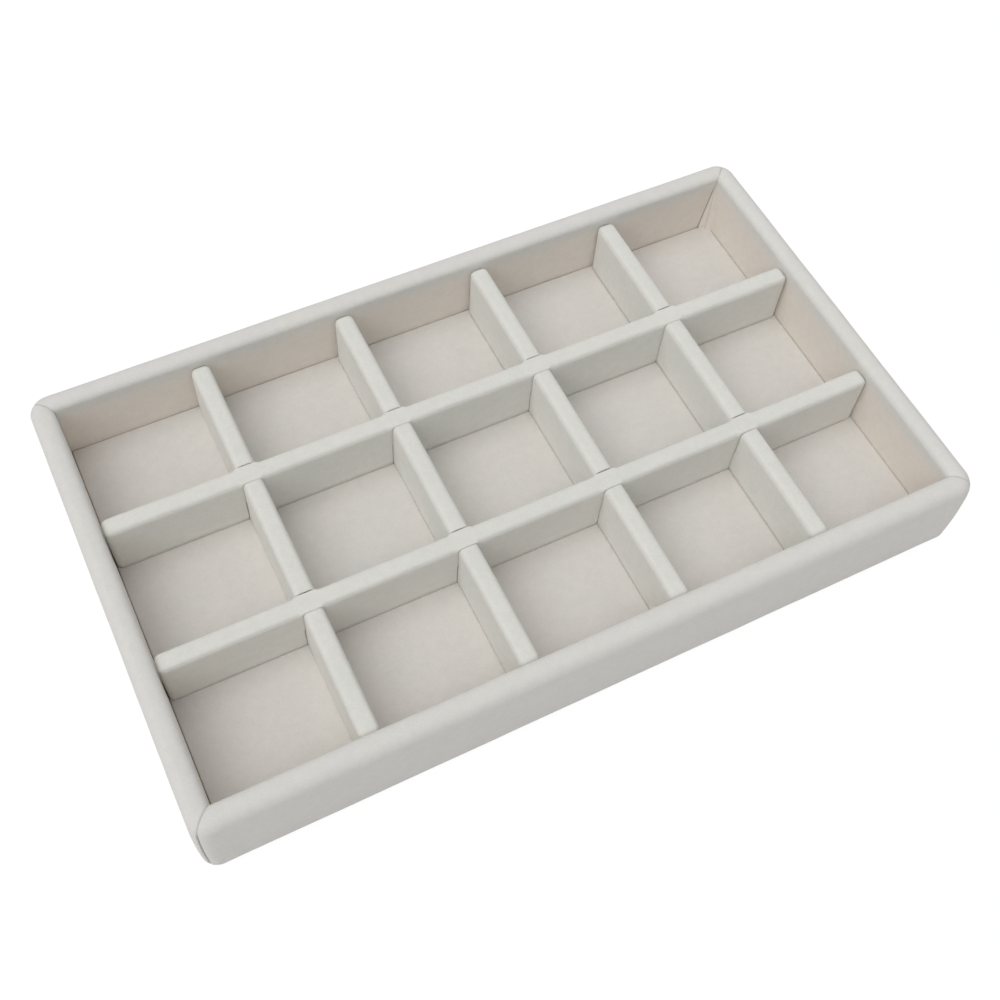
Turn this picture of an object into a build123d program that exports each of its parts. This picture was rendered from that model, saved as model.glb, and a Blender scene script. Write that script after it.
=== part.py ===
from build123d import *
import os

# A jewellery display tray: a low box with padded, suede-wrapped walls and a lift-out
# grid of wrapped dividers that makes five columns and three rows of nearly square cells.
# Sizes are in millimetres. X runs along the long side, Y from front to rear and Z up.
# The origin is the middle of the underside.

# Outer size of the finished tray, measured over the suede.
tray_length = 300.0
tray_width = 178.5
tray_height = 37.5
corner_radius = 6.0
foot_radius = 2.4

# Sheet goods.
suede_thickness = 0.8
lining_thickness = 0.8
wall_board_thickness = 7.0
wall_board_height = 30.5
rim_radius = 3.6
base_board_thickness = 4.0
base_board_clearance = 0.1
lining_inset = 3.0
lining_corner_radius = 5.0

# Floor pad: a stiff board under foam, both wrapped in one sheet of suede.
pad_board_thickness = 1.5
pad_foam_thickness = 2.2
pad_clearance = 0.3
pad_edge_radius = 1.0

# Dividers: slotted boards wrapped in suede, half-lapped where they cross.
column_count = 5
row_count = 3
divider_core_thickness = 6.0
divider_height = 24.5
divider_top_radius = 2.8
divider_end_radius = 1.8
divider_end_clearance = 0.4
lap_height = 12.25
lap_gap = 0.3
slot_clearance = 0.3

# Sizes that follow from the ones above.
wall_thickness = wall_board_thickness + 2 * suede_thickness
inner_length = tray_length - 2 * wall_thickness
inner_width = tray_width - 2 * wall_thickness
base_top = lining_thickness + base_board_thickness
wall_board_top = lining_thickness + suede_thickness + wall_board_height
pad_height = pad_board_thickness + pad_foam_thickness + suede_thickness
floor_top = base_top + pad_height
divider_thickness = divider_core_thickness + 2 * suede_thickness
cell_length = (inner_length - (column_count - 1) * divider_thickness) / column_count
cell_width = (inner_width - (row_count - 1) * divider_thickness) / row_count
column_pitch = cell_length + divider_thickness
row_pitch = cell_width + divider_thickness
cross_places = [(i - (column_count - 2) / 2) * column_pitch for i in range(column_count - 1)]
long_places = [(i - (row_count - 2) / 2) * row_pitch for i in range(row_count - 1)]
slot_width = divider_thickness + 2 * slot_clearance

# Each wall is drawn as the front wall of a box and then turned to its side. A wall has
# a name, its own run, the tray's depth behind it, the turn, and whether its board goes
# through to the corners, where the end walls' boards stop between the long ones.
walls = [
    ("front", tray_length, tray_width, 0, True),
    ("right", tray_width, tray_length, 90, False),
    ("rear", tray_length, tray_width, 180, True),
    ("left", tray_width, tray_length, 270, False),
]


def block(length, width, low, high):
    """Upright block about the Z axis, from height low to height high."""
    return Pos(0, 0, low) * extrude(Rectangle(length, width), amount=high - low)


def wall_form(run, depth, inset):
    """Front wall with its rounded rim, foot and corners, drawn inset under the suede's face."""
    section = Rectangle(
        wall_thickness - 2 * inset,
        tray_height - lining_thickness - 2 * inset,
        align=(Align.MIN, Align.MIN),
    )
    rim_corners = section.vertices().group_by(Axis.Y)[-1]
    section = fillet(rim_corners, rim_radius - inset)
    foot_corner = section.vertices().group_by(Axis.Y)[0].sort_by(Axis.X)[0]
    section = fillet(foot_corner, foot_radius - inset)
    wall = extrude(Plane.YZ * section, amount=run / 2, both=True)
    wall = Pos(0, inset - depth / 2, lining_thickness + inset) * wall
    face = Rectangle(
        run - 2 * inset, tray_height - lining_thickness - inset, align=(Align.CENTER, Align.MIN)
    )
    face = fillet(face.vertices().group_by(Axis.Y)[0], foot_radius - inset)
    face = Plane.XZ * Pos(0, lining_thickness + inset, 0) * face
    wall = wall & extrude(face, amount=depth / 2, both=True)
    plan = RectangleRounded(run - 2 * inset, depth - 2 * inset, corner_radius - inset)
    return wall & extrude(plan, amount=tray_height)


def mitred(wall, run, depth):
    """Keeps what lies between the two mitre planes at the ends of a front wall."""
    reach = 2 * wall_thickness
    front = -depth / 2
    outline = Polyline(
        (-run / 2, front),
        (run / 2, front),
        (run / 2 - reach, front + reach),
        (-run / 2 + reach, front + reach),
        close=True,
    )
    return wall & extrude(make_face(outline), amount=tray_height)


def wall_pieces(run, depth, goes_through):
    """Board, rim padding and suede of one wall, in the front wall's place."""
    filling = wall_form(run, depth, suede_thickness)
    board = filling & block(run, depth, 0, wall_board_top)
    if not goes_through:
        between_long_boards = run - 2 * (wall_thickness - suede_thickness)
        board = board & block(between_long_boards, depth, 0, wall_board_top)
    padding = filling & block(run, depth, wall_board_top, tray_height)
    padding = mitred(padding, run, depth)
    suede = mitred(wall_form(run, depth, 0), run, depth) - filling
    behind_base_board = Pos(0, wall_thickness - suede_thickness / 2 - depth / 2, 0) * block(
        run, suede_thickness, 0, base_top
    )
    return board, padding, suede - behind_base_board


def divider_form(length, inset):
    """Divider along X standing at Z = 0 without its slots, drawn inset under the suede's face."""
    height = divider_height - inset
    thickness = divider_thickness - 2 * inset
    span = length - 2 * inset
    standing = (Align.CENTER, Align.MIN)
    section = Rectangle(thickness, height, align=standing)
    section = fillet(section.vertices().group_by(Axis.Y)[-1], divider_top_radius - inset)
    side = Rectangle(span, height, align=standing)
    side = fillet(side.vertices().group_by(Axis.Y)[-1], divider_end_radius - inset)
    plan = RectangleRounded(span, thickness, divider_end_radius - inset)
    form = extrude(Plane.YZ * section, amount=span / 2, both=True)
    form = form & extrude(Plane.XZ * side, amount=thickness / 2, both=True)
    return form & extrude(plan, amount=height)


def divider_pieces(length, crossings, slot_low, slot_high):
    """Core and suede of one divider along X, slotted where other dividers cross it."""
    slots = [
        Pos(place, 0, 0) * block(slot_width, 2 * divider_thickness, slot_low, slot_high)
        for place in crossings
    ]
    core = divider_form(length, suede_thickness)
    suede = divider_form(length, 0) - core
    return core - slots, suede - slots


pieces = {}

# Underside: a lining sheet, with the base board above it held between the wall boards.
lining = RectangleRounded(
    tray_length - 2 * lining_inset, tray_width - 2 * lining_inset, lining_corner_radius
)
pieces["bottom_lining"] = extrude(lining, amount=lining_thickness)
base_margin = 2 * (suede_thickness - base_board_clearance)
pieces["base_board"] = block(
    inner_length + base_margin, inner_width + base_margin, lining_thickness, base_top
)

# Walls: a board with a foam strip on top, and one strip of suede over both that folds
# under the board. The suede strips meet in mitres at the four corners.
for side, run, depth, turn, goes_through in walls:
    board, padding, suede = wall_pieces(run, depth, goes_through)
    pieces[f"wall_board_{side}"] = Rot(0, 0, turn) * board
    pieces[f"rim_padding_{side}"] = Rot(0, 0, turn) * padding
    pieces[f"wall_suede_{side}"] = Rot(0, 0, turn) * suede

# Floor pad: it drops in on the base board and its suede covers the top and the edges.
pad_length = inner_length - 2 * pad_clearance
pad_width = inner_width - 2 * pad_clearance
pad_form = block(pad_length, pad_width, base_top, floor_top)
pad_form = fillet(pad_form.faces().sort_by(Axis.Z)[-1].edges(), pad_edge_radius)
filling_length = pad_length - 2 * suede_thickness
filling_width = pad_width - 2 * suede_thickness
foam_low = base_top + pad_board_thickness
foam_high = floor_top - suede_thickness
pieces["floor_pad_board"] = block(filling_length, filling_width, base_top, foam_low)
pieces["floor_pad_foam"] = block(filling_length, filling_width, foam_low, foam_high)
pieces["floor_pad_suede"] = pad_form - block(
    filling_length, filling_width, base_top, foam_high
)

# Dividers across the tray: they stand on the floor pad, slotted from above.
for number, place in enumerate(cross_places, start=1):
    core, suede = divider_pieces(
        inner_width - 2 * divider_end_clearance,
        long_places,
        lap_height - lap_gap / 2,
        divider_height,
    )
    stand = Pos(place, 0, floor_top) * Rot(0, 0, 90)
    pieces[f"cross_divider_{number}_core"] = stand * core
    pieces[f"cross_divider_{number}_suede"] = stand * suede

# Dividers along the tray: slotted from below, they drop over the cross dividers.
for name, place in zip(("front", "rear"), long_places):
    core, suede = divider_pieces(
        inner_length - 2 * divider_end_clearance,
        cross_places,
        0,
        lap_height + lap_gap / 2,
    )
    stand = Pos(0, place, floor_top)
    pieces[f"long_divider_{name}_core"] = stand * core
    pieces[f"long_divider_{name}_suede"] = stand * suede

os.makedirs("parts", exist_ok=True)
for name, piece in pieces.items():
    export_step(piece, f"parts/{name}.step")
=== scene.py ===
import math

import bmesh
import bpy
import numpy as np
from mathutils import Matrix, Vector


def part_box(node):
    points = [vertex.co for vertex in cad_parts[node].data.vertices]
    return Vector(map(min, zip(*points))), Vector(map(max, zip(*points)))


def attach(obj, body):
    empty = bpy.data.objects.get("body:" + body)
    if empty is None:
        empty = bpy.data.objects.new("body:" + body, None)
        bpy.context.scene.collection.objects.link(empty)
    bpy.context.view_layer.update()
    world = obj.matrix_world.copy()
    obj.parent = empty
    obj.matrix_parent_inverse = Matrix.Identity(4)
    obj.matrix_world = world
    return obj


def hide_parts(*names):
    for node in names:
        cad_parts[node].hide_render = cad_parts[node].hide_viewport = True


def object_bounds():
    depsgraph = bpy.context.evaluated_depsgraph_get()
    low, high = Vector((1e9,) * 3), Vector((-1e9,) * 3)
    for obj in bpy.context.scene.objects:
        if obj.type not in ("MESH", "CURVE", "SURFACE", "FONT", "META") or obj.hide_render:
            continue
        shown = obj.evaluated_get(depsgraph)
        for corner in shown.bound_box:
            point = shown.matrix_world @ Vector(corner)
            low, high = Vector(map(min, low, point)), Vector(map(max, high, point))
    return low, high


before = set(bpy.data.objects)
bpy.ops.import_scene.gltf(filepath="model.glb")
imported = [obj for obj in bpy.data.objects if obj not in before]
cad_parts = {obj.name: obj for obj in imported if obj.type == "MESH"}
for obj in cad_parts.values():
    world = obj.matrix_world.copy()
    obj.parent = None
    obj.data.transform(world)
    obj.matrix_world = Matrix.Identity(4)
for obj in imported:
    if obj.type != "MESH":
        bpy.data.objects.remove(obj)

cad_low, cad_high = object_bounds()

# Bottom lining: one thin flocked sheet glued under the tray. It hides the folded hems of
# the wall strips, and the tray slides on it. Its edge is cut a little inside the walls.
mm = 0.001
lining_low, lining_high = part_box("bottom_lining")
lining_corner = 5.0 * mm
lining_edge_round = 0.12
lining_nap = 0.8 * mm
lining_colour = (0.50, 0.46, 0.41)
lining_cool = (0.47, 0.44, 0.40)


class Wire:
    """An output socket of a material, with + - * that add the Math nodes for it."""

    def __init__(self, recipe, socket):
        self.recipe = recipe
        self.socket = socket

    def maths(self, operation, first, second):
        inputs = {0: first, 1: second}
        return self.recipe.add("ShaderNodeMath", {"operation": operation}, inputs)

    def __add__(self, other):
        return self.maths("ADD", self, other)

    def __radd__(self, other):
        return self.maths("ADD", other, self)

    def __sub__(self, other):
        return self.maths("SUBTRACT", self, other)

    def __rsub__(self, other):
        return self.maths("SUBTRACT", other, self)

    def __mul__(self, other):
        return self.maths("MULTIPLY", self, other)

    def __rmul__(self, other):
        return self.maths("MULTIPLY", other, self)

    def __getitem__(self, output):
        return Wire(self.recipe, self.socket.node.outputs[output])


class Recipe:
    """One material or world: its node tree, its shader and the method that adds any node."""

    def __init__(self, name, kind="materials", shader="Principled BSDF"):
        self.material = getattr(bpy.data, kind).new(name)
        self.material.use_nodes = True
        self.nodes = self.material.node_tree.nodes
        self.links = self.material.node_tree.links
        self.shader = self.nodes[shader]
        self.place = self.add("ShaderNodeTexCoord")["Object"]

    def add(self, kind, settings=None, inputs=None):
        """A node of that kind: settings first, then the values or links of its sockets."""
        node = self.nodes.new(kind)
        for key, value in (settings or {}).items():
            setattr(node, key, value)
        for key, value in (inputs or {}).items():
            self.feed(node.inputs[key], value)
        return Wire(self, node.outputs[0])

    def feed(self, socket, value):
        """Links a wire to a socket, or sets the socket to a plain value."""
        if isinstance(value, Wire):
            self.links.new(value.socket, socket)
        else:
            socket.default_value = value

    def noise(self, size, detail=2.0, roughness=0.5, distortion=0.0, stretch=(1, 1, 1)):
        """Noise from 0 to 1 with cells about size across, drawn out by stretch."""
        place = self.add(
            "ShaderNodeMapping",
            {"vector_type": "POINT"},
            {"Vector": self.place, "Scale": tuple(1 / (size * s) for s in stretch)},
        )
        inputs = {
            "Vector": place,
            "Scale": 1.0,
            "Detail": detail,
            "Roughness": roughness,
            "Distortion": distortion,
        }
        return self.add("ShaderNodeTexNoise", {}, inputs)

    def blend(self, factor, first, second, kind="MIX"):
        """Colour that goes from first to second as factor goes from 0 to 1, or from first
        to their product where the kind is MULTIPLY."""
        settings = {"data_type": "RGBA", "blend_type": kind, "clamp_factor": True}
        mix = self.add("ShaderNodeMix", settings, {0: factor, 6: first, 7: second})
        return mix[2]

    def spread(self, value, low, high):
        """The value with low taken to 0 and high to 1, and cut off there."""
        inputs = {0: value, 1: low, 2: high, 3: 0.0, 4: 1.0}
        return self.add("ShaderNodeMapRange", {"clamp": True}, inputs)

    def attribute(self, name):
        """A number that the mesh holds at each point."""
        return self.add("ShaderNodeAttribute", {"attribute_name": name})["Fac"]

    def finish(self, colour, roughness, height, depth, strength=0.5, sheen=0.0):
        """Feeds the shader: colour, roughness, and a bump of that height map and depth."""
        self.feed(self.shader.inputs["Base Color"], colour)
        self.feed(self.shader.inputs["Roughness"], roughness)
        inputs = {"Strength": strength, "Distance": depth, "Height": height}
        bump = self.add("ShaderNodeBump", {}, inputs)
        self.feed(self.shader.inputs["Normal"], bump)
        self.shader.inputs["Sheen Weight"].default_value = sheen
        self.shader.inputs["Sheen Roughness"].default_value = 0.45
        self.shader.inputs["Specular IOR Level"].default_value = 0.25
        return self.material


def rgba(colour, factor=1.0):
    """A colour with its alpha, made lighter or darker by factor."""
    return tuple(min(1.0, c * factor) for c in colour) + (1.0,)


def suede(name, colour, cool, nap=0.55 * mm, depth=0.08 * mm, inside_painted_light=None):
    """Short-nap suede: specks of nap and brushed patches that lie lighter or cooler. A
    wall strip also has painted warm light on its inner face, a warmer colour there,
    and a darker line of painted shade along its seams."""
    clump_size, patch_size = 6 * nap, 22 * mm
    hollow_shade, seam_shade, seam_cover = 0.92, 0.30, 0.55
    recipe = Recipe(name)
    specks = recipe.noise(nap, detail=3.0, roughness=0.65)
    clumps = recipe.noise(clump_size, detail=2.0, roughness=0.6, distortion=0.4)
    brushed = recipe.noise(patch_size, detail=3.0, roughness=0.55, distortion=0.8)
    patches = recipe.spread(brushed, 0.35, 0.68)
    ground = recipe.blend(patches, rgba(colour), rgba(cool))
    # Painted warm light: a warmer, lighter colour on the wall's inner faces, where the inside
    # attribute is 1.
    if inside_painted_light:
        ground = recipe.blend(recipe.attribute("inside"), ground, rgba(inside_painted_light))
    tone = recipe.spread(specks * 0.65 + clumps * 0.35, 0.36, 0.64)
    lit = recipe.blend(tone, rgba((hollow_shade,) * 3), rgba((1.0, 1.0, 1.0)))
    shown = recipe.blend(1.0, ground, lit, "MULTIPLY")
    # Painted shade: on a wall strip, the colour is darkened along the seams and the fold's crease
    # by the mesh's seam mask.
    if inside_painted_light:
        seam_painted_shade = recipe.attribute("seam_painted_shade") * seam_cover
        shown = recipe.blend(seam_painted_shade, shown, rgba(colour, seam_shade))
    height = specks * 0.7 + clumps * 0.3
    return recipe.finish(shown, 0.99 - tone * 0.10, height, depth, strength=0.6, sheen=0.12)


def mesh_object(name, points, faces, material, body="tray"):
    """A smooth-shaded mesh at the origin that rides on a body and takes a slot's finish."""
    mesh = bpy.data.meshes.new(name)
    mesh.from_pydata(points.tolist(), [], faces.tolist())
    mesh.polygons.foreach_set("use_smooth", np.ones(len(mesh.polygons), bool))
    mesh.materials.append(material)
    piece = bpy.data.objects.new(name, mesh)
    bpy.context.scene.collection.objects.link(piece)
    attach(piece, body)
    return piece


def grid_faces(rows, columns):
    """Four-sided faces between neighbours of a grid of points, as (rows - 1, columns - 1, 4)."""
    at = np.arange(rows * columns).reshape(rows, columns)
    return np.stack([at[:-1, :-1], at[:-1, 1:], at[1:, 1:], at[1:, :-1]], axis=-1)


def weld(piece, distance=0.01 * mm):
    """Merges points that lie on each other, drops flat faces and turns faces outwards."""
    work = bmesh.new()
    work.from_mesh(piece.data)
    bmesh.ops.remove_doubles(work, verts=work.verts, dist=distance)
    bmesh.ops.dissolve_degenerate(work, edges=work.edges, dist=distance)
    bmesh.ops.recalc_face_normals(work, faces=work.faces)
    work.to_mesh(piece.data)
    work.free()
    return piece


def rounded_outline(half, corner, side_x, side_y, steps=8):
    """Points round a rectangle with elliptical corners, anticlockwise from the front left:
    the given places along each side, then steps along a quarter ellipse at each corner."""
    turn = np.linspace(0, math.pi / 2, steps + 1)[1:-1]
    x, y = half[0] - corner[0], half[1] - corner[1]
    bend_front = [x + corner[0] * np.sin(turn), -y - corner[1] * np.cos(turn)]
    bend_right = [x + corner[0] * np.cos(turn), y + corner[1] * np.sin(turn)]
    front = np.stack([side_x * x, np.full(len(side_x), -half[1])], axis=1)
    right = np.stack([np.full(len(side_y), half[0]), side_y * y], axis=1)
    front = np.concatenate([front, np.stack(bend_front, axis=1)])
    right = np.concatenate([right, np.stack(bend_right, axis=1)])
    return np.concatenate([front, right, -front, -right])


lining_suede = suede("lining_flock", lining_colour, lining_cool, nap=lining_nap)
lining_half = (lining_high - lining_low) / 2
lining_ring = rounded_outline(
    lining_half[:2], (lining_corner, lining_corner), np.linspace(-1, 1, 40), np.linspace(-1, 1, 24)
)
# Rings of the same outline run from the middle of the underside out to the edge, up the
# edge with a small round, and back in to the middle of the upper face.
reach = np.array([0.0, 0.25, 0.5, 0.75, 0.94, 0.999, 1.0])
shrink = np.concatenate([reach, reach[::-1]])
level = np.repeat([0, lining_edge_round, 1 - lining_edge_round, 1], [6, 1, 1, 6])
lining_points = np.zeros((len(shrink), len(lining_ring) + 1, 3))
lining_points[:, :-1, :2] = shrink[:, None, None] * lining_ring[None]
lining_points[:, -1] = lining_points[:, 0]
lining_points[:, :, 2] = (lining_low.z + level * (lining_high.z - lining_low.z))[:, None]
lining = mesh_object(
    "bottom_lining_sheet",
    lining_points.reshape(-1, 3),
    grid_faces(*lining_points.shape[:2]).reshape(-1, 4),
    lining_suede,
)
weld(lining)
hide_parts("bottom_lining")

# Boards: the base board, the wall boards and the dividers' cores are sawn fibreboard, and
# the floor pad has a thin grey card. Suede hides them all, apart from the edges of the
# cores in the dividers' slots.


def fibreboard(name, light, dark):
    """Sawn fibreboard: fine pressed fibres with darker flecks."""
    recipe = Recipe(name)
    fibres = recipe.noise(0.7 * mm, detail=4.0, roughness=0.7, stretch=(3, 1, 1))
    flecks = recipe.noise(2.4 * mm, detail=2.0, distortion=0.6)
    tone = recipe.spread(fibres * 0.6 + flecks * 0.4, 0.35, 0.65)
    colour = recipe.blend(tone, rgba(dark), rgba(light))
    return recipe.finish(colour, 0.90 - tone * 0.12, fibres, 0.06 * mm, strength=0.4)


board_finish = fibreboard("fibreboard", (0.45, 0.31, 0.18), (0.27, 0.17, 0.09))
grey_finish = fibreboard("greyboard", (0.26, 0.24, 0.21), (0.17, 0.155, 0.135))
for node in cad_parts.values():
    if node.name.startswith(("wall_board", "base_board")) or node.name.endswith("_core"):
        node.data.materials.clear()
        node.data.materials.append(board_finish)
    if node.name == "floor_pad_board":
        node.data.materials.clear()
        node.data.materials.append(grey_finish)

# Walls: a strip of soft foam rounds the top of each wall board, and one strip of suede is
# drawn over both, from a hem under the board, up the outside, over the rim and down the
# inside. Neighbouring strips meet in mitred seams at the corners.
suede_thickness = 0.8 * mm
wall_low, wall_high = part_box("wall_suede_front")
wall_thickness = wall_high.y - wall_low.y
tray_length = cad_high.x - cad_low.x
tray_width = cad_high.y - cad_low.y
tray_top = cad_high.z
hem_height = wall_low.z
base_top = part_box("base_board")[1].z
board_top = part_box("wall_board_front")[1].z
floor_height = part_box("floor_pad_suede")[1].z
corner_radius = 6.0 * mm
rim_corner_radius = 8.0 * mm
corner_widening = 2.6 * mm
corner_bulge = 0.5 * mm
bulge_reach = 9 * mm
foot_radius = 1.9 * mm
rim_drop_outside = 5.2 * mm
rim_drop_inside = 3.0 * mm
rim_power_outside = 2.1
rim_power_inside = 2.5
along_step = 2.4 * mm
seam_depth = 0.4 * mm
seam_width = 0.45 * mm
seam_gap = 0.10 * mm
least_gap = 0.02 * mm
gap_reach = 2 * mm
rim_seam_share = 0.45
far_from_seams = 30 * mm
fold_width = 5.0 * mm
least_fold = 0.4 * mm
fold_seam_depth = 0.06 * mm
fold_seam_width = 0.3 * mm
# How much stronger the painted shade is along the fold's crease than along a mitre.
fold_seam_shade = 1.5
fold_foot_fade = 4 * mm
seam_opens_over_board = 2 * mm
seam_opening_height = 4 * mm
seam_foot_fade = 5 * mm
suede_sink = 0.03 * mm
wall_unevenness, wall_wave = 0.10 * mm, 34 * mm
wall_ripple, wall_ripple_wave = 0.04 * mm, 11 * mm
uneven_foot_fade, uneven_seam_fade = 2 * mm, 3 * mm
inner_face_start = 0.7
foam_under_suede = 2.3 * suede_thickness, 1.2 * suede_thickness
wall_colour = (0.79, 0.775, 0.736)
wall_cool = (0.775, 0.765, 0.742)
# Painted warm light: the walls' inner faces take this warmer, lighter colour of the same suede,
# which stands in for the light on them.
wall_inside_painted_light = (0.845, 0.785, 0.725)
foam_colour = (0.80, 0.78, 0.70)


def arc(middle, radius, start, end, steps):
    """Points along a circle about middle, from the start angle to the end angle."""
    angle = np.radians(np.linspace(start, end, steps))
    return np.stack([middle[0] + radius * np.cos(angle), middle[1] + radius * np.sin(angle)], 1)


def wall_section():
    """Section of the wall's suede as depth from the outer face and height: hem, round
    foot, outer face, a rim of two superellipse quarters, and the inner face."""
    half = wall_thickness / 2
    hem_steps, foot_steps, outer_steps, rim_steps, inner_steps = 6, 9, 18, 41, 20
    hem_depth = np.linspace(wall_thickness - suede_thickness, foot_radius, hem_steps)[:-1]
    hem = np.stack([hem_depth, np.full(len(hem_depth), hem_height)], 1)
    foot_middle = (foot_radius, hem_height + foot_radius)
    foot = arc(foot_middle, foot_radius, -90, -180, foot_steps)
    rise = np.linspace(foot[-1, 1], tray_top - rim_drop_outside, outer_steps)[1:-1]
    outer = np.stack([np.zeros(len(rise)), rise], 1)
    angle = np.linspace(math.pi, 0, rim_steps)
    power = 2 / np.where(angle > math.pi / 2, rim_power_outside, rim_power_inside)
    drop = np.where(angle > math.pi / 2, rim_drop_outside, rim_drop_inside)
    across = half + half * np.sign(np.cos(angle)) * np.abs(np.cos(angle)) ** power
    up = tray_top - drop * (1 - np.abs(np.sin(angle)) ** power)
    fall = np.linspace(tray_top - rim_drop_inside, base_top, inner_steps)[1:]
    inner = np.stack([np.full(len(fall), wall_thickness), fall], 1)
    return np.concatenate([hem, foot, outer, np.stack([across, up], 1), inner])


def along_wall(run, depth, folds):
    """Places along a wall at each depth, and how far each is from the nearer mitre. They
    are close together over the fold beside each mitre and spread out beyond it. A mitre's
    distance from the wall's middle is half the run less the depth."""
    share = np.array([0.0, 0.3, 0.6, 0.85, 1.0])
    beyond = np.array([0.15, 0.35, 0.6, 0.95, 1.4, 2.0, 2.8, 3.8, 5.0, 6.5, 8.5, 11.0]) * mm
    low, high = (np.concatenate([f[:, None] * share, f[:, None] + beyond], 1) for f in folds)
    end = (run / 2 - depth)[:, None]
    middle = np.linspace(0, 1, int(run / along_step))[None, 1:-1]
    between = (low[:, -1:] - end) * (1 - middle) + (end - high[:, -1:]) * middle
    far = np.full(between.shape, far_from_seams)
    from_seam = np.concatenate([low, far, high[:, ::-1]], axis=1)
    return np.concatenate([low - end, between, end - high[:, ::-1]], axis=1), from_seam


def smooth(value):
    """Goes smoothly from 0 to 1 as the value goes from 0 to 1."""
    value = np.clip(value, 0, 1)
    return value * value * (3 - 2 * value)


def bell(distance, reach):
    """Falls smoothly from 1 at no distance to about a third at that reach."""
    return np.exp(-((distance / reach) ** 2))


def waves(x, y, seed, size, count=7):
    """A gentle uneven height from -1 to 1: the mean of a few sine waves of about that
    size that run in different directions."""
    draw = np.random.default_rng(seed)
    total = np.zeros_like(x)
    for _ in range(count):
        angle, phase, scale = draw.random(3) * (math.pi, 2 * math.pi, 1.0)
        rate = 2 * math.pi / (size * (0.7 + scale))
        total += np.sin(rate * (x * math.cos(angle) + y * math.sin(angle)) + phase)
    return total / count


def corner_radius_at(height):
    """Radius of the upright corner: even up the board, wider over the soft rim."""
    above = height - board_top + corner_widening
    share = smooth(above / (tray_top - board_top + corner_widening))
    return corner_radius + (rim_corner_radius - corner_radius) * share


def bend_corner(x, depth, run, radius):
    """Rounds the upright corner: in the square that holds it, a point at p along the wall
    and q out from the arc's middle goes to radius q at p/q of an eighth of a turn."""
    p = np.abs(x) - (run / 2 - radius)
    q = radius - depth
    bent = (p > 0) & (q > 0)
    angle = np.where(bent, p / np.where(bent, q, 1), 0) * math.pi / 4
    bent_x = np.sign(x) * (run / 2 - radius + q * np.sin(angle))
    bent_depth = radius - q * np.cos(angle)
    return np.where(bent, bent_x, x), np.where(bent, bent_depth, depth)


def normals_of(points):
    """Unit normals of a grid of points, from the differences along its rows and columns."""
    across = np.cross(np.gradient(points, axis=1), np.gradient(points, axis=0))
    return across / np.maximum(np.linalg.norm(across, axis=2, keepdims=True), 1e-12)


def store(piece, name, values):
    """Keeps one number for each point of a mesh, under a name that a material reads."""
    attribute = piece.data.attributes.new(name, "FLOAT", "POINT")
    attribute.data.foreach_set("value", np.asarray(values, np.float32).ravel())


def thicken(piece, thickness):
    """Gives a sheet its thickness, on the side away from where its faces point."""
    sheet = piece.modifiers.new("thickness", "SOLIDIFY")
    sheet.thickness = thickness
    sheet.offset = -1
    return piece


def wall_surface(section, run, span, folded_end, fold_has_seam, seed):
    """Outer face of a wall's suede as a grid of points, with the painted shade along its
    seams and the share of its inner face that takes painted warm light. The section goes along the
    wall between its mitres.
    the suede bridges the inside of a corner, the fold starts at nothing under the rim and
    is widest at the floor. The corners are then bent round, the seams pushed in, and the
    face beside them let out by the bulge."""
    inside = smooth((section[:, 0] / wall_thickness - inner_face_start) / (1 - inner_face_start))
    down = (tray_top - rim_drop_inside - section[:, 1]) / (tray_top - floor_height)
    over_base = smooth((section[:, 1] - base_top) / fold_foot_fade)
    bridged = np.clip(down, 0, 1) * inside * over_base
    folds = [
        least_fold + (fold_width - least_fold) * bridged * (end == folded_end) for end in (-1, 1)
    ]
    x, from_seam = along_wall(run, section[:, 0], folds)
    depth = np.repeat(section[:, :1], x.shape[1], axis=1)
    height = np.repeat(section[:, 1:], x.shape[1], axis=1)
    fold = np.where(x < 0, folds[0][:, None], folds[1][:, None])
    at_fold = (np.sign(x) == folded_end) * 1.0
    bridging = smooth(4 * bridged)[:, None] * at_fold
    over_corner = np.clip(fold - from_seam, 0, None) / 2 * bridging
    outside = 1 - inside[:, None]
    under_rim = board_top + seam_opens_over_board - height
    upright = smooth(under_rim / seam_opening_height) * outside
    gap = (least_gap + seam_gap * upright) * outside * bell(from_seam, gap_reach)
    x = x - np.sign(x) * (over_corner + gap)
    depth = depth + over_corner
    x, depth = bend_corner(x, depth, run, corner_radius_at(height))
    points = np.stack([x, depth - span / 2, height], axis=2)

    mitre = bell(from_seam, seam_width) * outside
    mitre = mitre * (rim_seam_share + (1 - rim_seam_share) * upright)
    mitre = mitre * smooth((height - hem_height) / seam_foot_fade)
    edge = bell(from_seam - fold, fold_seam_width) * at_fold * fold_has_seam
    edge = edge * smooth(6 * down * inside)[:, None]
    uneven = wall_unevenness * waves(x, depth + height, 10 + seed, wall_wave)
    uneven += wall_ripple * waves(x, depth + height, 20 + seed, wall_ripple_wave)
    from_foot = smooth((height - hem_height) / uneven_foot_fade)
    uneven *= from_foot * smooth(from_seam / uneven_seam_fade)
    up_board = np.clip((height - hem_height) / (board_top - hem_height), 0, 1)
    face = 1 - smooth(section[:, :1] / ((1 - inner_face_start) * wall_thickness))
    bulge = corner_bulge * np.sin(math.pi * up_board) * bell(from_seam, bulge_reach) * face
    sunk = seam_depth * mitre + fold_seam_depth * edge + suede_sink
    points = points + normals_of(points) * (uneven + bulge - sunk)[..., None]
    # Painted shade: a mask that darkens the colour along the mitres and the fold's crease.
    seam_painted_shade = np.maximum(mitre, fold_seam_shade * edge)
    # Painted warm light: the share of the inner face that takes the warmer colour.
    inside_painted_light_share = inside[:, None] * smooth(4 * down)[:, None]
    return points, seam_painted_shade, np.broadcast_to(inside_painted_light_share, seam_painted_shade.shape)


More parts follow.
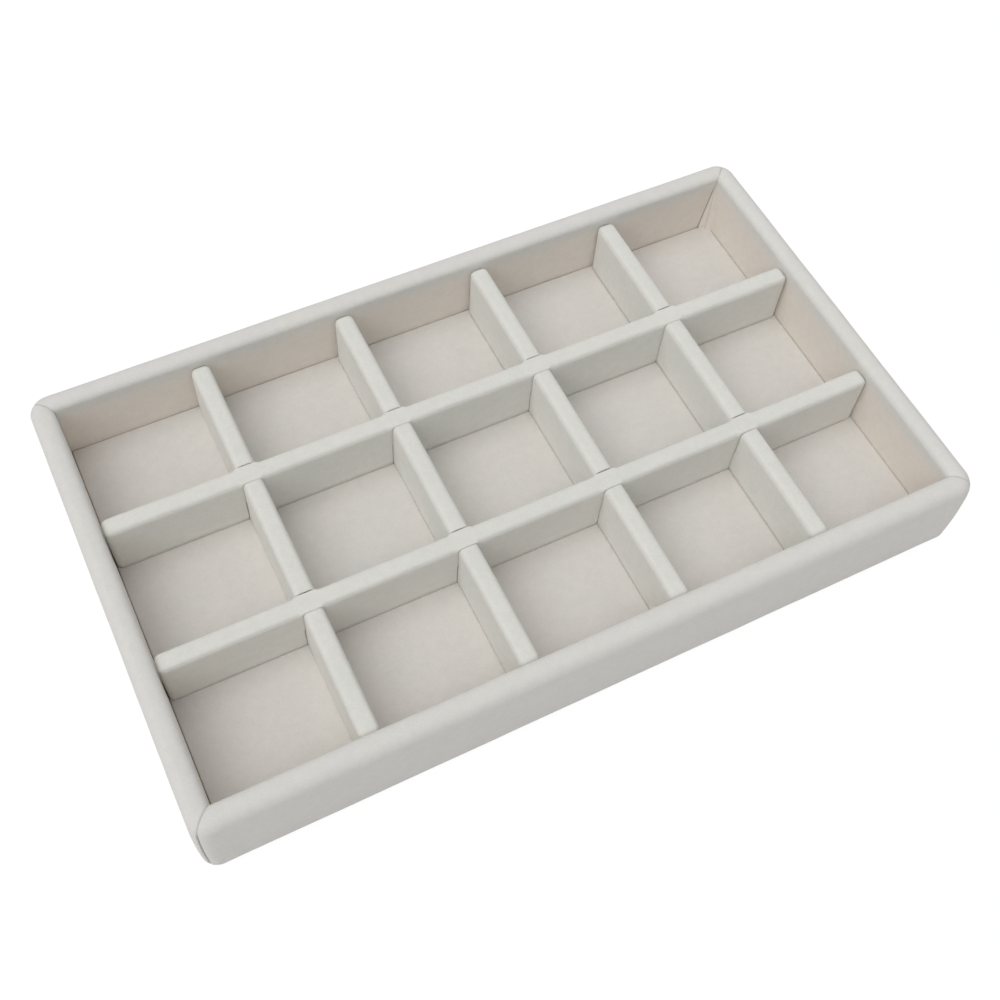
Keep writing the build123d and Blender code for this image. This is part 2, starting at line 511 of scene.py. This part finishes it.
def rim_foam_surface(section, run, span):
    """Rim foam as a grid of points: the part of the suede's section over the board, drawn
    in towards its middle and closed, carried along the wall with a cap at each mitre."""
    over_board = section[section[:, 1] > board_top]
    middle = np.array([wall_thickness / 2, board_top])
    drawn_in = 1 - np.array(foam_under_suede) / (wall_thickness, tray_top - board_top)
    shape = middle + (over_board - middle) * drawn_in
    ring = np.concatenate([shape, shape[:1]])
    x, _ = along_wall(run, ring[:, 0], [np.full(len(ring), least_fold)] * 2)
    depth = np.repeat(ring[:, :1], x.shape[1], axis=1)
    height = np.repeat(ring[:, 1:], x.shape[1], axis=1)
    x, depth = bend_corner(x, depth, run, corner_radius_at(height))
    points = np.stack([x, depth - span / 2, height], axis=2)
    caps = np.repeat(points.mean(axis=0)[None, [0, -1]], len(points), axis=0)
    return np.concatenate([caps[:, :1], points, caps[:, 1:]], axis=1)


wall_suede = suede("wall_suede", wall_colour, wall_cool, inside_painted_light=wall_inside_painted_light)
foam = Recipe("soft_foam")
foam_cells = foam.noise(0.6 * mm, detail=3.0, roughness=0.7)
foam_tone = foam.spread(foam_cells, 0.35, 0.65)
foam_shade = foam.blend(foam_tone, rgba(foam_colour, 0.88), rgba(foam_colour))
foam_finish = foam.finish(foam_shade, 0.95 - foam_tone * 0.05, foam_cells, 0.1 * mm)

# Each wall is worked out as the front wall and then turned to its side. Only the rear
# right corner is folded, and the seam of its fold lies in the rear wall's strip.
section = wall_section()
folded_ends = {"right": 1, "rear": -1}
for quarter, side in enumerate(("front", "right", "rear", "left")):
    run, span = (tray_length, tray_width) if quarter % 2 == 0 else (tray_width, tray_length)
    turn = np.array(Matrix.Rotation(quarter * math.pi / 2, 3, "Z"))
    points, seam_painted_shade, inside_painted_light_share = wall_surface(
        section, run, span, folded_ends.get(side, 0), side == "rear", quarter
    )
    strip = mesh_object(
        f"wall_wrap_{side}",
        points.reshape(-1, 3) @ turn.T,
        grid_faces(*points.shape[:2]).reshape(-1, 4),
        wall_suede,
    )
    # Masks for the material: painted shade along the seams, and painted warm light on the inner
    # face.
    store(strip, "seam_painted_shade", seam_painted_shade)
    store(strip, "inside", inside_painted_light_share)
    thicken(strip, suede_thickness)
    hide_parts(f"wall_suede_{side}")

    points = rim_foam_surface(section, run, span)
    padding = mesh_object(
        f"rim_foam_{side}",
        points.reshape(-1, 3) @ turn.T,
        grid_faces(*points.shape[:2]).reshape(-1, 4),
        foam_finish,
    )
    weld(padding)
    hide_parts(f"rim_padding_{side}")

# Floor pad: stiff card under thin foam, wrapped in suede and dropped in on the base. The
# foam swells a little in each cell and is pressed flat where the dividers stand.
pad_low, pad_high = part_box("floor_pad_suede")
foam_low, foam_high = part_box("floor_pad_foam")
pad_edge = 0.5 * mm
pad_spread = Vector((0.15, 0.15, 0.0)) * mm
pad_step = 2.2 * mm
cell_crown = 0.30 * mm
mean_crown = 0.65
pad_wave = 26 * mm
pad_colour = (0.785, 0.755, 0.715)
pad_cool = (0.765, 0.745, 0.715)
cross_boxes = [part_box(f"cross_divider_{number}_suede") for number in range(1, 5)]
long_boxes = [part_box(f"long_divider_{name}_suede") for name in ("front", "rear")]


def swell(place, low, high, walls):
    """1 in the middle of each gap between low, the dividers' sides and high, and 0 at
    the sides and under the dividers, along one axis."""
    edges = [low] + [edge for wall in walls for edge in wall] + [high]
    rise = np.zeros_like(place)
    for start, end in zip(edges[::2], edges[1::2]):
        share = (place - (start + end) / 2) / ((end - start) / 2)
        rise = np.where(np.abs(share) < 1, 1 - share**4, rise)
    return rise


def pad_surface(low, high, edge, crown):
    """Upper face of a pad on a grid, with round edges, and a skirt down to its foot. The
    face rises by the crown in the middle of each cell, more in some places than others."""
    half = (high - low) / 2
    ease = edge * (1 - np.cos(np.linspace(0, math.pi / 2, 6)))
    lines = []
    for reach in (half.x, half.y):
        middle = np.linspace(edge - reach, reach - edge, int(2 * reach / pad_step))
        lines.append(np.concatenate([ease[:-1] - reach, middle, (reach - ease[:-1])[::-1]]))
    x, y = np.meshgrid(*lines)
    from_edge = np.minimum(half.x - np.abs(x), half.y - np.abs(y))
    drop = 1 - np.clip(from_edge / edge, 0, 1)
    z = high.z - edge * (1 - np.sqrt(1 - drop**2))
    along = swell(x, low.x, high.x, [(b[0].x, b[1].x) for b in cross_boxes])
    across = swell(y, low.y, high.y, [(b[0].y, b[1].y) for b in long_boxes])
    uneven = mean_crown + (1 - mean_crown) * waves(x, y, 31, pad_wave)
    z = z + crown * along * across * uneven
    top = np.stack([x, y, z], axis=2)
    rim = np.concatenate([top[0], top[1:, -1], top[-1, -2::-1], top[-2::-1, 0]])
    levels = np.linspace(1, 0, 5)
    skirt = np.repeat(rim[None], len(levels), axis=0)
    skirt[..., 2] = low.z + levels[:, None] * (rim[:, 2] - low.z)[None]
    return top, skirt


def pad_piece(name, low, high, edge, crown, material, closed):
    """A pad's mesh from its upper face, its skirt and, if closed, a flat underside."""
    top, skirt = pad_surface(low, high, edge, crown)
    surfaces = [top, skirt[:, ::-1]]
    if closed:
        under = top.copy()
        under[..., 2] = low.z
        surfaces.append(under[:, ::-1])
    points, faces, count = [], [], 0
    for surface in surfaces:
        points.append(surface.reshape(-1, 3))
        faces.append(grid_faces(*surface.shape[:2]).reshape(-1, 4) + count)
        count += len(points[-1])
    piece = mesh_object(name, np.concatenate(points), np.concatenate(faces), material)
    return weld(piece)


pad_suede = suede("floor_suede", pad_colour, pad_cool)
pad_foam = pad_piece(
    "floor_foam", foam_low, foam_high, pad_edge / 2, cell_crown / 2, foam_finish, True
)
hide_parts("floor_pad_foam")
pad_wrap = pad_piece(
    "floor_wrap",
    pad_low - pad_spread,
    pad_high + pad_spread,
    pad_edge,
    cell_crown,
    pad_suede,
    False,
)
thicken(pad_wrap, suede_thickness)
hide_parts("floor_pad_suede")

# Dividers: slotted boards wrapped in cream suede, with round tops and ends. The four
# across the tray are slotted from above, and the two along it from below, so that they
# lap like an egg crate and the long ones' tops run on over the crossings.
divider_colour = (0.81, 0.80, 0.755)
divider_cool = (0.79, 0.79, 0.75)
divider_round = 2.8 * mm
pressed_round = 0.8 * mm
pressed_reach = 5.4 * mm
pressed_ease = 2.2 * mm
divider_power = 2.6
divider_step = 2.2 * mm
end_round = 2.2 * mm
slot_clearance = 0.12 * mm
half_lap_gap = 0.15 * mm
divider_foot_fade = 3 * mm
side_unevenness, side_wave = 0.09 * mm, 24 * mm
top_unevenness, top_wave = 0.10 * mm, 19 * mm
opposite_side = 9 * mm
divider_suede = suede("divider_suede", divider_colour, divider_cool)


def divider_stations(straight, half_slot, crossings):
    """Places along a divider's straight part, from -1 to 1: close together beside each
    crossing and at both ends, and no more than a step apart between those."""
    beside = np.array([-6.5, -5.4, -4.9, -4.4, -half_slot / mm, -3.3, -2.4]) * mm
    stations = [-straight, straight]
    for place in crossings:
        stations += list(place + np.concatenate([beside, [0], -beside]))
    ends = np.array([0.5, 1.1, 2.0]) * mm
    stations += list(ends - straight) + list(straight - ends)
    stations = np.unique(np.round(stations, 7))
    filled = [stations[:1]]
    for start, end in zip(stations[:-1], stations[1:]):
        count = max(2, int((end - start) / divider_step) + 1)
        filled.append(np.linspace(start, end, count)[1:])
    return np.concatenate(filled) / straight


def press_crossings(points, crossings, shape, thickness, height, lap):
    """Redraws a long divider's upper part beside each crossing with a tighter round, where
    the cross dividers hold the suede. Shape holds each row's inward and upward share of
    the round, its share of the flat top, and the height that the round starts from."""
    from_crossing = np.abs(points[..., :1] - np.array(crossings)).min(axis=2)
    pressed = smooth((pressed_reach - from_crossing) / pressed_ease)
    tight = divider_round + (pressed_round - divider_round) * pressed
    inward, up, share, foot = (row[:, None] for row in shape)
    raised = lap + (foot - lap) * (height - tight - lap) / (height - divider_round - lap)
    around = np.where(foot > lap, raised + tight * up, foot)
    across = (thickness / 2 - tight * inward) * share
    near = pressed > 0
    points[..., 1] = np.where(near, np.sign(points[..., 1]) * across, points[..., 1])
    points[..., 2] = np.where(near, around, points[..., 2])


def divider_wrap(length, thickness, height, crossings, lap, from_above, seed):
    """Suede over a divider along X that stands at height 0: an outline with elliptical
    corners, carried up the sides and drawn in along a superellipse quarter to the line
    along the top. Faces inside a slot are left out."""
    half_slot = thickness / 2 + slot_clearance
    straight = length / 2 - end_round
    side_x = divider_stations(straight, half_slot, crossings)
    side_y = np.linspace(-1, 1, 5)

    # Rows up the side, round the shoulder and in over the flat top: a share of each.
    shoulder = height - divider_round
    rise = np.unique(np.concatenate([np.linspace(0, lap, 7), np.linspace(lap, height, 7)[:-1]]))
    rise = np.where(rise > lap, lap + (rise - lap) * (shoulder - lap) / (height - lap), rise)
    rise = np.append(rise, shoulder)
    angle = np.concatenate([0 * rise, np.linspace(0, math.pi / 2, 12)[1:], [math.pi / 2] * 3])
    drawn_in = 1 - np.clip(np.cos(angle), 0, 1) ** (2 / divider_power)
    drawn_in[-4:] = 1
    lift = np.sin(angle) ** (2 / divider_power)
    flat = np.concatenate([np.ones(len(angle) - 3), [0.66, 0.33, 0.0]])
    level = np.concatenate([rise, np.full(len(angle) - len(rise), shoulder)])
    rings = []
    for inward, up, share, foot in zip(drawn_in, lift, flat, level):
        half_width = (thickness / 2 - divider_round * inward) * share
        below = max(height - foot - divider_round * up, 0)
        back = end_round - math.sqrt(end_round**2 - max(end_round - below, 0) ** 2)
        corner = (end_round - back, min(end_round, half_width))
        ring = rounded_outline((length / 2 - back, half_width), corner, side_x, side_y)
        reach = straight - (1 - share) * (thickness / 2 - divider_round)
        ring[:, 0] = np.clip(ring[:, 0], -reach, reach) if share < 1 else ring[:, 0]
        rings.append(ring)
    points = np.zeros((len(angle), len(rings[0]) + 1, 3))
    points[:, :-1, :2] = np.array(rings)
    points[:, -1] = points[:, 0]
    points[..., 2] = (level + divider_round * lift)[:, None]
    if not from_above:
        shape = (drawn_in, lift, flat, level)
        press_crossings(points, crossings, shape, thickness, height, lap)

    side = np.sign(points[..., 1])
    up_side = points[..., 2] + opposite_side * side
    uneven = side_unevenness * waves(points[..., 0], up_side, seed, side_wave)
    uneven = (uneven - side_unevenness) * smooth(points[..., 2] / divider_foot_fade)
    points[..., 1] += side * uneven * (np.abs(points[..., 1]) > 0.4 * thickness)
    over_top = waves(points[..., 0], points[..., 1], seed + 20, top_wave)
    points[..., 2] += top_unevenness * over_top * smooth(angle / (math.pi / 2))[:, None]

    faces = grid_faces(*points.shape[:2])
    middle = points.reshape(-1, 3)[faces].mean(axis=2)
    slotted = np.zeros(middle.shape[:2], bool)
    for place in crossings:
        beside = np.abs(middle[..., 0] - place) < half_slot
        slotted |= beside & ((middle[..., 2] > lap) == from_above)
    return points, faces[~slotted]


def place_divider(name, node, body, crossings, from_above, seed):
    """One divider's suede on its CAD place, with the flat size of the piece it is cut from.
    A divider slotted from above runs across the tray and is turned to Y."""
    low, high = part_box(node)
    size, middle = high - low, (low + high) / 2
    length, thickness = (size.y, size.x) if from_above else (size.x, size.y)
    lap = size.z / 2 + (-half_lap_gap if from_above else half_lap_gap)
    points, faces = divider_wrap(length, thickness, size.z, crossings, lap, from_above, seed)
    points = points.reshape(-1, 3)
    if from_above:
        points = points[:, [1, 0, 2]] * (-1, 1, 1)
    points = points + np.array([middle.x, middle.y, low.z])
    piece = mesh_object(name, points, faces.reshape(-1, 4), divider_suede, body)
    weld(piece)
    thicken(piece, suede_thickness)
    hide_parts(node)
    return piece


cross_x = [(low.x + high.x) / 2 for low, high in cross_boxes]
long_y = [(low.y + high.y) / 2 for low, high in long_boxes]
for number in range(1, 5):
    name = f"cross_divider_{number}"
    place_divider(f"{name}_wrap", f"{name}_suede", "cross_dividers", long_y, True, 40 + number)
for number, side in enumerate(("front", "rear")):
    name = f"long_divider_{side}"
    place_divider(f"{name}_wrap", f"{name}_suede", name, cross_x, False, 50 + number)

# Surroundings: a plain white sweep under soft daylight from the left, with a white card
# that throws some of it back from the right. The camera looks down over the front left
# corner of the tray.
camera_place = Vector((-133.1, -223.8, 430.7)) * mm
camera_aim = Vector((-6.5, -12.7, 20.0)) * mm
camera_roll = 5.21
camera_lens = 46.81
sweep_size = 6.0
sweep_colour = (0.80, 0.80, 0.80)
sweep_seen_share = 0.85
sweep_seen_strength = 1.08
daylight_strength = 0.42
window_place = (-4.05, -1.05, 6.7)
window_width = 8.0
window_power = 369.0
window_colour = (1.0, 0.995, 0.98)
card_place = (0.80, 0.34, 0.95)
card_aim = (0.1, 0, 0)
card_width = 0.5
card_power = 1.4
card_colour = (0.97, 0.985, 1.0)
white = (1.0, 1.0, 1.0, 1.0)


def seen_white(recipe, backdrop, share, output):
    """Mixes a white shader into what the camera, a glossy face or clear glass sees, and
    leaves the soft light on the tray alone."""
    ray = recipe.add("ShaderNodeLightPath")
    seen = ray["Is Camera Ray"] + ray["Is Glossy Ray"] + ray["Is Transmission Ray"]
    shaders = {0: seen * share, 1: Wire(recipe, recipe.shader.outputs[0]), 2: backdrop}
    mixed = recipe.add("ShaderNodeMixShader", {}, shaders)
    recipe.feed(recipe.nodes[output].inputs["Surface"], mixed)


def soft_lamp(name, place, aim, width, power, colour):
    """A square area lamp of that width at a place, turned to shine at aim."""
    data = bpy.data.lights.new(name, "AREA")
    data.shape = "SQUARE"
    data.size = width
    data.energy = power
    data.color = colour
    lamp = bpy.data.objects.new(name, data)
    lamp.location = place
    lamp.rotation_mode = "QUATERNION"
    lamp.rotation_quaternion = (Vector(aim) - Vector(place)).to_track_quat("-Z", "Y")
    bpy.context.scene.collection.objects.link(lamp)
    return lamp


floor = bpy.data.objects.new("sweep", bpy.data.meshes.new("sweep"))
half = sweep_size / 2
sweep_corners = [(-half, -half, 0), (half, -half, 0), (half, half, 0), (-half, half, 0)]
floor.data.from_pydata(sweep_corners, [], [(0, 1, 2, 3)])
bpy.context.scene.collection.objects.link(floor)
paper = Recipe("white_sweep")
paper.shader.inputs["Base Color"].default_value = rgba(sweep_colour)
paper.shader.inputs["Roughness"].default_value = 1.0
paper.shader.inputs["Specular IOR Level"].default_value = 0.0
paper_white = {"Color": white, "Strength": sweep_seen_strength}
seen_white(
    paper, paper.add("ShaderNodeEmission", {}, paper_white), sweep_seen_share, "Material Output"
)
floor.data.materials.append(paper.material)

sky = Recipe("daylight", "worlds", "Background")
sky.shader.inputs["Color"].default_value = white
sky.shader.inputs["Strength"].default_value = daylight_strength
sky_white = {"Color": white, "Strength": 1.0}
seen_white(sky, sky.add("ShaderNodeBackground", {}, sky_white), 1.0, "World Output")
bpy.context.scene.world = sky.material

soft_lamp("window", window_place, (0, 0, 0), window_width, window_power, window_colour)
soft_lamp("reflector", card_place, card_aim, card_width, card_power, card_colour)

camera_data = bpy.data.cameras.new("camera")
camera_data.lens = camera_lens
camera_data.sensor_width = 36.0
camera_data.clip_start = 0.01
camera_data.clip_end = 20.0
camera = bpy.data.objects.new("camera", camera_data)
bpy.context.scene.collection.objects.link(camera)
facing = (camera_aim - camera_place).to_track_quat("-Z", "Y").to_matrix()
spin = Matrix.Rotation(math.radians(camera_roll), 3, "Z")
camera.matrix_world = Matrix.Translation(camera_place) @ (facing @ spin).to_4x4()
bpy.context.scene.camera = camera
bpy.context.scene.view_settings.view_transform = "Standard"
